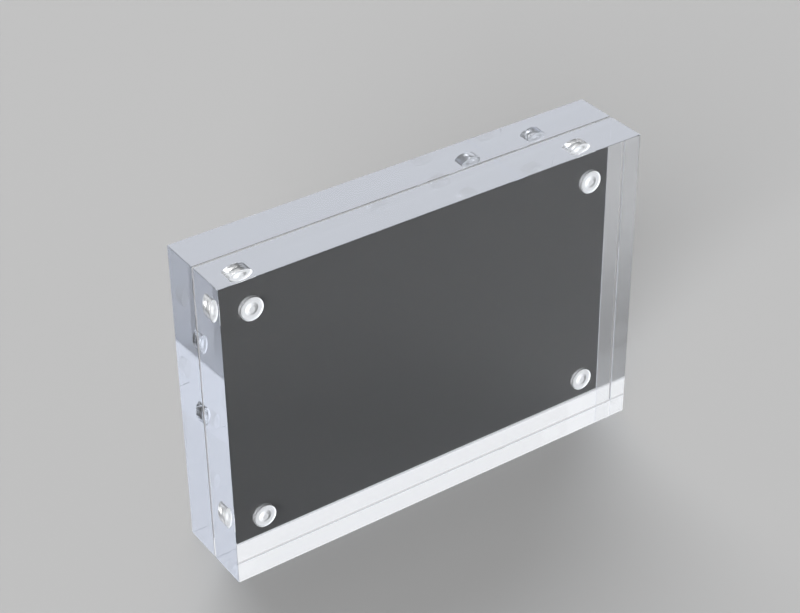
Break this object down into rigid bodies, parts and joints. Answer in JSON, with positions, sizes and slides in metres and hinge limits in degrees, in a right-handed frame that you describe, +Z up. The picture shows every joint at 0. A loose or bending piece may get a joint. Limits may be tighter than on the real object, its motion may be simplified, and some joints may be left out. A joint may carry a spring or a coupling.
{
  "type": "acrylic sign holder",
  "caption": "Free-standing clear acrylic block sign holder: two polished slabs clamp a card between them with facing disc magnets near the corners.",
  "frame": {"origin": "on the surface the holder stands on, under the middle of the closed holder", "axes": "+X across the front to the right as seen from the front, +Y towards the back, +Z up"},
  "size_m": [0.105, 0.02, 0.074],
  "materials": {
    "clear_acrylic": "polished",
    "nickel_plate": "gloss",
    "dark_card": "matte"
  },
  "bodies": {
    "rear_half": {"rear_block": "clear_acrylic", "rear_magnet_top_left": "nickel_plate", "rear_magnet_top_right": "nickel_plate", "rear_magnet_bottom_left": "nickel_plate", "rear_magnet_bottom_right": "nickel_plate"},
    "front_half": {"front_block": "clear_acrylic", "front_magnet_top_left": "nickel_plate", "front_magnet_top_right": "nickel_plate", "front_magnet_bottom_left": "nickel_plate", "front_magnet_bottom_right": "nickel_plate"},
    "card": {"insert_card": "dark_card"}
  },
  "joints": [
    {"name": "front_pull", "type": "slide", "parent": "rear_half", "child": "front_half", "axis": [0, -1, 0], "range_m": [0, 0.05]},
    {"name": "card_lift", "type": "slide", "parent": "rear_half", "child": "card", "axis": [0, 0, 1], "range_m": [0, 0.075]}
  ]
}
